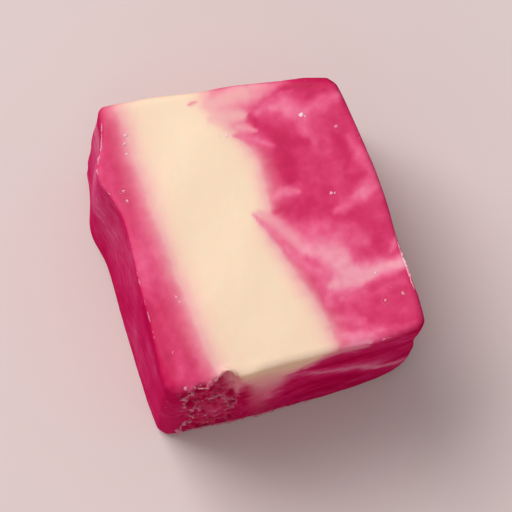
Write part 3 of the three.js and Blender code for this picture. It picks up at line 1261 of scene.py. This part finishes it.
@dataclass
class Skin:
    """The finished skin as arrays: points, normals and fields, and how near a rim or tear."""

    points: Array
    normals: Array
    fields: dict[str, Array]
    rim: Array
    torn: Array

    def cling(self, line: Array, reach: float = 0.18) -> tuple[Array, Array, Array]:
        """Pulls places onto the skin: each becomes the mean of the skin nearest to it.

        Args:
            line: n x 3 places near the skin in millimetres.
            reach: how far past the nearest point others still count.

        Returns:
            The places on the skin, the normals there, and the nearest points' numbers.
        """
        margin = 1.5
        low, high = line.min(0) - margin, line.max(0) + margin
        close = np.flatnonzero(np.all((self.points > low) & (self.points < high), axis=1))
        gaps = np.linalg.norm(line[:, None] - self.points[close][None], axis=2)
        weight = bell(gaps - gaps.min(1, keepdims=True), reach)
        weight /= weight.sum(1, keepdims=True)
        normals = unit(weight @ self.normals[close])
        return weight @ self.points[close], normals, close[gaps.argmin(1)]


@dataclass
class FudgeSkin:
    """The block's fine skin, with its relief, its torn strip and its marbling."""

    block: CutBlock
    strip: TornStrip
    marbling: Marbling
    finish: FudgeFinish
    steps: tuple[int, int, int] = (150, 146, 108)
    foot_rings: tuple[float, ...] = (0.99, 0.98, 0.97, 0.96, 0.945, 0.93, 0.91, 0.88, 0.8, 0.55)
    # Where grid lines crowd: the place in the unit cube, the reach and the added density.
    edges: tuple[Triple, Triple] = ((-1.0, 0.06, 1.0), (1.0, 0.06, 1.0))
    tray_and_top: tuple[Triple, Triple] = ((-1.0, 0.05, 1.2), (1.0, 0.07, 2.0))
    strip_crowd: Pair = (0.24, 1.2)
    # From the block's middle to the unit cube's side, in millimetres.
    half_width: float = 15.5
    # The relief: heights and spacings in millimetres.
    dent_height: float = 0.04
    dent_mm: float = 3.4
    grain_height: float = 0.01
    grain_mm: float = 0.7
    drag_height: float = 0.011
    drag_mm: Triple = (0.8, 0.8, 11.0)
    drag_lean: Pair = (0.22, 0.12)
    # The rolled lip of cream beside the bite.
    lip_at: Triple = (-4.4, -14.7, 26.7)
    lip_reach: Triple = (1.3, 0.5, 0.6)
    lip_height: float = 0.2
    # The tearing's colour: crests painted paler, a painted highlight with dry sugar on them, and
    # hollows painted deeper, a painted shade.
    crest_highlight_tone: float = 0.14
    hollow_shade_tone: float = -0.16
    crest_sugar_and_glint: float = 0.1
    noise: LatticeNoise = LatticeNoise(3)

    def lines(self) -> tuple[Array, Array, Array]:
        """Grid lines, closer together at the edges and across the torn strip.

        Returns:
            The lines across, back and up, from -1 to 1.
        """
        strip = (self.strip.left + self.strip.right) / 2 / self.half_width
        across = grid_lines(self.steps[0], (*self.edges, (strip, *self.strip_crowd)))
        back = grid_lines(self.steps[1], self.edges)
        up = grid_lines(self.steps[2], self.tray_and_top)
        return across, back, up

    def relief(self, points: Array, normals: Array, cut: Array) -> Array:
        """How far the skin stands out: slow dents, fine grain, the knife's drag lines and the lip.

        The drag lines are noise drawn out along the blade's way down the sides. The lip beside
        the bite is a bell of the distance to its middle.

        Args:
            points: n x 3 places in millimetres.
            normals: their unit normals.
            cut: n values, 1 on a cut side and 0 on the upper face.

        Returns:
            n heights in millimetres.
        """
        dents = self.dent_height * self.noise.layered(points, self.dent_mm, 3)
        grain = self.grain_height * self.noise.layered(points + 9.0, self.grain_mm, 2)
        leaning = points @ np.array([[1, 0, 0], [0, 1, 0], [*self.drag_lean, 1]])
        drag = self.drag_height * self.noise.layered(leaning, self.drag_mm, 2)
        upright = cut * (1 - np.abs(normals[:, 2]))
        foot = ease(-0.95, -0.6, normals[:, 2])
        from_lip = (points - self.lip_at) / self.lip_reach
        lip = self.lip_height * np.exp(-np.sum(from_lip**2, axis=1))
        return (dents + grain + drag * upright + lip) * foot

    def build(self) -> tuple[bpy.types.Object, Skin, Array]:
        """Makes the block's piece.

        Returns:
            The object, the skin for what clings to it, and how far the block was moved to set
            its box's middle over the origin.
        """
        cube, quads = cube_skin(self.lines(), np.array(self.foot_rings))
        points, _ = self.block.surface(cube)
        low, high = points.min(0), points.max(0)
        shift = np.array([(low[0] + high[0]) / 2, (low[1] + high[1]) / 2, low[2]])
        normals = point_normals(points, quads)
        # 1 on the cut sides, which take the deeper ramps of partly painted shade.
        cut = 1 - ease(0.45, 0.9, normals[:, 2])
        points += normals * self.relief(points, normals, cut)[:, None]
        whole = points
        points = self.strip.carve(whole)
        hollow = ease(0.03, 0.5, np.linalg.norm(points - whole, axis=1))
        tear = self.strip.tear(points, normals)
        torn = np.maximum(tear, hollow)
        crests = self.strip.crests(points)
        points += normals * (self.strip.crest_height * torn * crests)[:, None]
        points[:, 2] = np.maximum(points[:, 2], 0)
        normals = point_normals(points, quads)
        rim = ease(0.955, 0.995, np.sort(np.abs(cube), axis=1)[:, 1])
        tone, cream = self.marbling.fields(points, cut)
        # Crests are painted paler, a painted highlight, and torn hollows deeper, a painted shade.
        fields = {
            "tone": np.clip(
                tone + self.crest_highlight_tone * torn * crests + self.hollow_shade_tone * tear * hollow, 0, 1
            ),
            "cream": cream,
            "cut": cut,
            "bloom": self.crest_sugar_and_glint * torn * np.maximum(crests, 0),
        }
        skin = Skin(points - shift, normals, fields, rim, torn)
        piece = put_mesh("marbled_block", skin.points, quads, fields)
        piece.data.materials.append(self.finish.material("set_fudge"))
        return piece, skin, shift


# What clings to the skin.


@dataclass(frozen=True)
class Feather:
    """One feather edge of dragged fudge: a broken, lumpy thread along places on the skin.

    It stands as tall as that share of its radius, is broken where noise falls below a level,
    and strays from its places by so many millimetres.
    """

    places: tuple[Triple, ...]
    radius: float
    tall: float = 1.0
    broken: float = 0.0
    bloom: float = 0.3
    lump_mm: float = 0.7
    stray: float = 0.2


@dataclass
class FeatherEdges:
    """The thin edges that the knife drew out along the rims, and the torn strip's lacy crags."""

    block: CutBlock
    skin: Skin
    shift: Array
    finish: FudgeFinish
    step: float = 0.11
    columns: int = 7
    # What the thread of a burst bubble's rim is like, and how far round it is laid.
    bubble_rim: Feather = Feather((), 0.05, 0.8, -1.0, 0.12, stray=0.04)
    bubble_turn: float = 2.1 * np.pi
    # The crags' tone, paler as a painted highlight on their lit upper sides, and its share over the
    # skin's.
    crag_highlight_tone: float = 0.62
    crag_highlight_share: float = 0.8
    # Spacings of the noise that bends, breaks and roughens the threads.
    stray_mm: float = 2.0
    break_mm: float = 2.3
    jitter_mm: float = 0.24
    jitter: float = 0.8
    # A thread's radius as a share: the mean, the lumps' part and the limits.
    mean_share: float = 0.7
    lump_share: float = 1.1
    least_and_most: Pair = (0.12, 1.7)
    # How far the middle stands off the skin: by its radius, less a little to root it.
    stands_off: float = 0.55
    rooted: float = 0.03
    # Along the rims, in the unit cube's coordinates.
    rims: tuple[Feather, ...] = (
        Feather(((-1, -0.86, 1), (-1, 0.3, 1)), 0.08, 1.0, 0.1, 0.35),
        Feather(((-1, 0.3, 1), (-1, 0.96, 1)), 0.11, 1.0, -0.4, 0.4),
        Feather(((-0.15, -1, 1), (0.96, -1, 1)), 0.06, 1.0, 0.3, 0.3),
        Feather(((1, -0.7, 1), (1, -0.28, 1)), 0.14, 1.2, -0.5, 0.5),
        Feather(((1, 0.95, 1), (1, -0.9, 1)), 0.07, 1.0, 0.3, 0.35),
        Feather(((0.95, 1, 1), (-0.95, 1, 1)), 0.06, 1.0, 0.35, 0.3),
        Feather(((-0.8, -1, -0.95), (0.2, -1, -0.95)), 0.17, 0.9, -0.7, 0.34),
        Feather(((0.1, -1, -0.97), (0.9, -1, -0.97)), 0.08, 0.8, 0.3, 0.16),
        Feather(((-1, -0.9, -0.97), (-1, 0.9, -0.97)), 0.07, 0.8, 0.4, 0.16),
    )
    # On the front face: millimetres across and up. Their sugar is partly a painted highlight.
    crags: tuple[Feather, ...] = (
        Feather(((-11.6, 25.6, 0), (-11.8, 21, 0), (-11.7, 16, 0)), 0.26, 0.7, -0.3, 0.24, 0.4, 0.8),
        Feather(((-11.7, 16.4, 0), (-11.5, 11.8, 0), (-12.1, 9.8, 0)), 0.3, 0.7, -0.3, 0.22, 0.4, 0.9),
        Feather(((-12.1, 10, 0), (-12.5, 5.6, 0), (-13.3, 2.4, 0)), 0.26, 0.7, -0.3, 0.22, 0.4, 0.8),
        Feather(((-13.6, 3, 0), (-13.3, 1.6, 0), (-12.6, 1, 0)), 0.32, 0.8, -0.8, 0.3, 0.5, 0.3),
        Feather(((-9.6, 18.6, 0), (-8.6, 20.4, 0), (-7.4, 17.6, 0)), 0.24, 0.9, -0.8, 0.24, 0.5, 0.5),
        Feather(((-9.3, 19.1, 0), (-10.4, 17.6, 0), (-10.5, 12.6, 0)), 0.22, 0.8, -0.3, 0.09, 0.5, 0.6),
        Feather(((-7.4, 21, 0), (-7.0, 15.4, 0), (-7.3, 9.6, 0)), 0.25, 0.8, -0.3, 0.09, 0.5, 0.6),
        Feather(((-6.5, 15.2, 0), (-6.8, 9.6, 0), (-7.6, 4.4, 0)), 0.2, 0.8, -0.1, 0.08, 0.5, 0.8),
        Feather(((-10.9, 10.6, 0), (-10.2, 6.4, 0), (-11.0, 2.8, 0)), 0.2, 0.8, 0.1, 0.07, 0.5, 0.8),
        Feather(((-7.6, 4.6, 0), (-8.6, 2.2, 0), (-10.4, 1.2, 0)), 0.2, 0.8, 0.0, 0.07, 0.5, 0.6),
    )
    # Burst bubbles on the upper face: right, back and the rim's radius in millimetres.
    bubbles: tuple[Triple, ...] = (
        (-13.0, 8.9, 0.42),
        (-12.9, 7.7, 0.4),
        (12.2, -10.4, 0.46),
        (14.2, -10.1, 0.42),
        (13.3, -8.9, 0.3),
    )
    noise: LatticeNoise = LatticeNoise(9)

    def centre_lines(self) -> list[tuple[Feather, Array]]:
        """Lays the feather edges: circles round the bubbles, and even steps along the others.

        Returns:
            Each feather edge with its way along the skin, n x 3 places in millimetres.
        """
        turn = np.linspace(0, self.bubble_turn, 40)
        top = self.block.height + self.block.crown
        lines = []
        for x, y, r in self.bubbles:
            circle = [x + r * np.cos(turn), y + r * np.sin(turn), 0 * turn + top]
            lines.append((self.bubble_rim, np.column_stack(circle) - self.shift))
        for feather in (*self.rims, *self.crags):
            corners = np.array(feather.places, float)
            numbers = np.arange(len(corners))
            parts = np.linspace(0, numbers[-1], 60 * numbers[-1] + 1)
            walked = np.stack([np.interp(parts, numbers, corners[:, k]) for k in range(3)], 1)
            if feather in self.crags:
                way = self.block.on_front(walked[:, 0], walked[:, 1] / self.block.height)
            else:
                way = self.block.surface(walked)[0]
            length = np.concatenate([[0], np.linalg.norm(np.diff(way, axis=0), axis=1).cumsum()])
            even = np.arange(0, length[-1], self.step)
            way = np.stack([np.interp(even, length, way[:, k]) for k in range(3)], 1)
            lines.append((feather, way - self.shift))
        return lines

    def thread(self, feather: Feather, way: Array) -> tuple[Array, Array]:
        """One lumpy thread: rings across the way, which close to a point at both ends.

        A ring's radius follows noise along the way and falls to almost nothing where the thread
        is broken, where it lies under the skin.

        Args:
            feather: the thread's sizes.
            way: n x 3 places along it in millimetres.

        Returns:
            The points, rings first and the two end points last, and the nearest skin points.
        """
        stray = self.noise.three(way, self.stray_mm, 40.0)
        way, outward, near = self.skin.cling(way + feather.stray * stray)
        lumps = self.noise.layered(way + 7.0, feather.lump_mm, 2)
        level = self.noise.at(way, self.break_mm)
        whole = ease(feather.broken - 0.15, feather.broken + 0.2, level)
        ends = np.sin(np.pi * np.linspace(0, 1, len(way))) ** 0.35
        lumpy = np.clip(self.mean_share + self.lump_share * lumps, *self.least_and_most)
        radius = feather.radius * whole * ends * lumpy
        along = unit(np.gradient(way, axis=0))
        sideways = unit(np.cross(along, outward))
        turn = 2 * np.pi * np.arange(self.columns) / self.columns
        off = self.stands_off * feather.tall * radius - self.rooted
        centre = way + outward * off[:, None]
        ring = (
            np.cos(turn)[None, :, None] * sideways[:, None]
            + feather.tall * np.sin(turn)[None, :, None] * outward[:, None]
        )
        rough = centre[:, None] + ring * radius[:, None, None]
        jitter = self.noise.at(rough.reshape(-1, 3), self.jitter_mm).reshape(rough.shape[:2])
        rings = centre[:, None] + ring * (radius[:, None] * (1 + self.jitter * jitter))[..., None]
        return np.vstack([rings.reshape(-1, 3), centre[:1], centre[-1:]]), near

    def build(self) -> bpy.types.Object:
        """Makes all the feather edges as one mesh, coloured as the skin under them.

        Returns:
            The object.
        """
        points, faces, total = [], [], 0
        fields = {label: [] for label in self.skin.fields}
        for feather, way in self.centre_lines():
            thread, near = self.thread(feather, way)
            points.append(thread)
            faces.append(ringed_faces(len(way), self.columns) + total)
            total += len(thread)
            source = np.concatenate([np.repeat(near, self.columns), near[:1], near[-1:]])
            for label, values in self.skin.fields.items():
                fields[label].append(values[source])
            fields["bloom"][-1] = np.full(len(thread), feather.bloom)
            # The crags are painted paler: a painted highlight on their lit upper sides.
            if feather in self.crags:
                fields["tone"][-1] = mix(fields["tone"][-1], self.crag_highlight_tone, self.crag_highlight_share)
        joined = {label: np.concatenate(values) for label, values in fields.items()}
        placed = np.vstack(points)
        placed[:, 2] = np.maximum(placed[:, 2], 0)
        piece = put_mesh("feather_edges", placed, np.vstack(faces), joined)
        piece.data.materials.append(self.finish.material("dragged_fudge"))
        return piece


def random_turns(random: np.random.Generator, count: int) -> Array:
    """Random rotation matrices, from unit quaternions drawn evenly.

    Args:
        random: the source of the draws.
        count: how many.

    Returns:
        count x 3 x 3 numbers.
    """
    w, x, y, z = unit(random.normal(size=(count, 4))).T
    rows = [
        [1 - 2 * (y * y + z * z), 2 * (x * y - w * z), 2 * (x * z + w * y)],
        [2 * (x * y + w * z), 1 - 2 * (x * x + z * z), 2 * (y * z - w * x)],
        [2 * (x * z - w * y), 2 * (y * z + w * x), 1 - 2 * (x * x + y * y)],
    ]
    return np.moveaxis(np.array(rows), 2, 0)


@dataclass
class Crumbs:
    """Crumbs that cling to the rims, the torn strip and here and there to the faces."""

    skin: Skin
    shift: Array
    finish: FudgeFinish
    count: int = 300
    radius: Pair = (0.05, 0.16)
    angularity: float = 0.38
    flatness: float = 0.7
    # How likely a crumb is at a rim, in the tearing and on a face, and in what patches.
    rim_share: float = 1.0
    torn_share: float = 1.2
    face_share: float = 0.012
    patch_mm: float = 2.2
    # How far crumbs are stretched each way, and how far out they sit, in radii: on a side,
    # then on the upper face.
    stretch: Pair = (0.6, 1.25)
    lift: Pair = (0.1, -0.12)
    bloom: Pair = (0.0, 0.22)
    # The share of a cut side's deeper colour, partly painted shade, that crumbs keep.
    cut_share: float = 0.4
    rings: int = 4
    columns: int = 7
    # The larger ones that show singly: right, back and up in millimetres, the radius, and the dry
    # sugar, which is also a painted glint.
    named: tuple[tuple[Triple, float, float], ...] = (
        ((8.4, 12.45, 27.2), 0.3, 0.95),
        ((8.75, 12.2, 27.2), 0.2, 0.6),
        ((9.4, 2.85, 27.3), 0.2, 0.6),
        ((9.8, 2.8, 27.3), 0.16, 0.6),
        ((11.9, 10.2, 27.2), 0.24, 0.3),
        ((-1.2, 12.2, 27.3), 0.18, 0.7),
        ((-0.3, 12.1, 27.3), 0.2, 0.7),
        ((-11.3, 15.0, 27.1), 0.26, 0.4),
        ((-11.6, 14.1, 27.1), 0.26, 0.35),
        ((-11.7, 12.9, 27.1), 0.3, 0.5),
        ((-13.0, 8.9, 27.1), 0.24, 0.45),
        ((-12.9, 7.7, 27.1), 0.25, 0.55),
        ((12.2, -10.4, 27.1), 0.25, 0.4),
        ((14.3, -10.1, 27.1), 0.22, 0.4),
        ((11.9, -7.1, 27.1), 0.24, 0.5),
        ((-10.2, -4.3, 27.2), 0.26, 0.35),
        ((-10.0, -4.9, 27.2), 0.2, 0.3),
        ((-12.2, -10.3, 27.1), 0.2, 0.35),
        ((-11.8, -14.6, 26.9), 0.27, 0.4),
        ((-10.7, -14.8, 26.8), 0.2, 0.25),
        ((-10.1, -15.0, 26.0), 0.36, 0.5),
        ((-9.4, -15.0, 26.2), 0.25, 0.3),
        ((-8.7, -15.0, 25.7), 0.2, 0.25),
        ((-10.9, -15.2, 24.6), 0.22, 0.25),
        ((-11.5, -15.2, 12.4), 0.24, 0.2),
        ((-13.2, -15.4, 2.0), 0.36, 0.35),
    )
    seed: int = 8
    noise: LatticeNoise = LatticeNoise(12)

    def placed(self, random: np.random.Generator) -> tuple[Array, Array, Array, Array]:
        """Where the crumbs sit: the named ones, then a weighted draw of the skin's points.

        Args:
            random: the source of the draws.

        Returns:
            Their middles, normals, nearest skin points and radii.
        """
        skin = self.skin
        chance = self.face_share + self.rim_share * skin.rim + self.torn_share * skin.torn
        chance *= ease(-0.1, 0.7, self.noise.layered(skin.points, self.patch_mm, 2)) + 0.02
        chance *= skin.points[:, 2] > 0.4
        drawn = random.choice(len(skin.points), self.count, p=chance / chance.sum())
        size = mix(*self.radius, random.random(self.count) ** 2)
        size *= mix(0.8, 1.4, skin.torn[drawn])
        spots = np.array([place for place, _, _ in self.named]) - self.shift
        at, normals, near = skin.cling(spots)
        return (
            np.vstack([at, skin.points[drawn]]),
            np.vstack([normals, skin.normals[drawn]]),
            np.concatenate([near, drawn]),
            np.concatenate([[radius for _, radius, _ in self.named], size]),
        )

    def build(self) -> bpy.types.Object:
        """Makes all crumbs as one mesh: a ball's points strayed, stretched, turned and flattened.

        Returns:
            The object.
        """
        random = np.random.default_rng(self.seed)
        at, normals, near, size = self.placed(random)
        count = len(size)
        polar = np.pi * np.arange(1, self.rings + 1) / (self.rings + 1)
        turn = 2 * np.pi * np.arange(self.columns) / self.columns
        flat = np.outer(np.sin(polar), np.cos(turn)), np.outer(np.sin(polar), np.sin(turn))
        upward = np.repeat(np.cos(polar)[:, None], self.columns, axis=1)
        ball = np.stack([*flat, upward], axis=-1).reshape(-1, 3)
        ball = np.vstack([ball, [[0, 0, 1], [0, 0, -1]]])
        stray = 1 + self.angularity * random.uniform(-1, 1, (count, len(ball), 1))
        stretch = random.uniform(*self.stretch, (count, 1, 3))
        turned = np.einsum("nij,nvj->nvi", random_turns(random, count), ball * stray * stretch)
        height = np.einsum("nvi,ni->nv", turned, normals)
        turned -= self.flatness * height[..., None] * normals[:, None]
        lift = mix(*self.lift, ease(0.3, 0.8, normals[:, 2]))
        middles = at + normals * (lift * size)[:, None]
        points = (turned * size[:, None, None] + middles[:, None]).reshape(-1, 3)
        points[:, 2] = np.maximum(points[:, 2], 0)
        starts = len(ball) * np.arange(count)[:, None, None]
        faces = (ringed_faces(self.rings, self.columns)[None] + starts).reshape(-1, 3)
        bloom = random.uniform(*self.bloom, count)
        bloom[: len(self.named)] = [share for _, _, share in self.named]
        fields = {label: values[near] for label, values in self.skin.fields.items()}
        fields["bloom"] = bloom
        fields["cut"] = self.cut_share * fields["cut"]
        spread = {label: np.repeat(values, len(ball)) for label, values in fields.items()}
        piece = put_mesh("clinging_crumbs", points, faces, spread)
        piece.data.materials.append(self.finish.material("crumbled_fudge"))
        return piece


# The studio.


@dataclass(frozen=True)
class SoftLight:
    """A square soft light that faces the block.

    Its place is an azimuth and an elevation in degrees and a distance in millimetres, and its
    size the side in millimetres.
    """

    name: str
    place: Triple
    size: float
    watts: float
    colour: str


@dataclass
class Studio:
    """A pale floor, soft lights and the camera at the photograph's angle."""

    target: Array
    azimuth: float = -14.3
    elevation: float = 78.8
    distance: float = 400.0
    pixels_per_mm: float = 8.74
    frame_pixels: float = 512.0
    sensor: float = 36.0
    floor_radius: float = 1500.0
    floor: FloorFinish = FloorFinish()
    # A window behind on the left, a dim ceiling and a faint fill.
    lights: tuple[SoftLight, ...] = (
        SoftLight("window", (212, 55, 1100), 660, 9.7, "#FFFBFB"),
        SoftLight("ceiling", (0, 88, 900), 700, 1.2, "#FFFAF8"),
        SoftLight("fill", (-20, 25, 900), 600, 0.7, "#FFF9F8"),
    )
    sky_colour: str = "#F4F0F3"
    sky_strength: float = 0.32

    def direction(self, azimuth: float, elevation: float) -> Array:
        """The way from the object to a place round it, counted from the front."""
        a, e = np.radians([azimuth, elevation])
        return np.array([np.sin(a) * np.cos(e), -np.cos(a) * np.cos(e), np.sin(e)])

    def aim(self, thing: bpy.types.Object, azimuth: float, elevation: float, distance: float) -> None:
        """Sets a camera or a light at a place round the target, facing it.

        Args:
            thing: the camera or the light.
            azimuth: degrees round the target, from the front towards the right.
            elevation: degrees above the floor.
            distance: millimetres from the target.
        """
        back = self.direction(azimuth, elevation)
        thing.location = (self.target + back * distance) * MM
        thing.rotation_mode = "QUATERNION"
        thing.rotation_quaternion = Vector(-back).to_track_quat("-Z", "Y")
        bpy.context.scene.collection.objects.link(thing)

    def build_camera(self) -> bpy.types.Object:
        """Makes the camera, with a lens that gives the stated pixels per millimetre.

        Returns:
            The camera.
        """
        lens = bpy.data.cameras.new("camera")
        lens.sensor_width = self.sensor
        lens.lens = self.sensor * self.pixels_per_mm * self.distance / self.frame_pixels
        lens.clip_start = 0.01
        lens.clip_end = 10.0
        camera = bpy.data.objects.new("camera", lens)
        self.aim(camera, self.azimuth, self.elevation, self.distance)
        bpy.context.scene.camera = camera
        return camera

    def build_floor(self) -> bpy.types.Object:
        """Makes a round board under the block, as a fan about its middle.

        Returns:
            The board.
        """
        turn = np.linspace(0, 2 * np.pi, 96, endpoint=False)
        rim = self.floor_radius * np.column_stack([np.cos(turn), np.sin(turn), 0 * turn])
        points = np.vstack([rim, [[0, 0, 0]]])
        here = np.arange(len(turn))
        faces = np.column_stack([here, (here + 1) % len(turn), np.full_like(here, len(turn))])
        floor = put_mesh("floor", points, faces, {})
        floor.data.materials.append(self.floor.material())
        return floor

    def build_lights(self) -> None:
        """Makes the soft lights, and a little light all round."""
        for light in self.lights:
            lamp = bpy.data.lights.new(light.name, "AREA")
            lamp.size = light.size * MM
            lamp.energy = light.watts
            lamp.color = linear(light.colour)[:3]
            self.aim(bpy.data.objects.new(light.name, lamp), *light.place)
        world = bpy.data.worlds.new("room")
        world.use_nodes = True
        tree = world.node_tree
        tree.nodes.clear()
        sky = add_node(
            tree,
            "ShaderNodeBackground",
            {"Color": linear(self.sky_colour), "Strength": self.sky_strength},
        )
        add_node(tree, "ShaderNodeOutputWorld", {"Surface": sky.outputs["Background"]})
        bpy.context.scene.world = world
        bpy.context.scene.view_settings.view_transform = "Standard"


def settle(piece: bpy.types.Object, *nodes: str) -> None:
    """Says what a piece rides on and which nodes it stands for.

    Args:
        piece: the finished piece.
        nodes: the solid's nodes that it replaces.
    """
    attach(piece, BODY)
    if nodes:
        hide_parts(*nodes)
    log.info("%s: %d faces", piece.name, len(piece.data.polygons))


def main() -> None:
    """Builds the block, what clings to it and the studio, in that order."""
    logging.basicConfig(level=logging.INFO, format="%(name)s: %(message)s")
    block = CutBlock()
    finish = FudgeFinish()
    body, skin, shift = FudgeSkin(block, TornStrip(block), Marbling(), finish).build()
    settle(body, NODE)
    # What clings to the skin is thinner than light would travel inside the block.
    thin = replace(finish, bloom="#FFD6DF", gloss=0.2, sheen=0.0, scatter_mm=0.05)
    settle(FeatherEdges(block, skin, shift, thin).build())
    settle(Crumbs(skin, shift, thin).build())
    studio = Studio(target=np.array([0, 0, AIM_SHARE * block.height]) - shift)
    studio.build_camera()
    studio.build_floor()
    studio.build_lights()


if __name__ == "__main__":
    main()
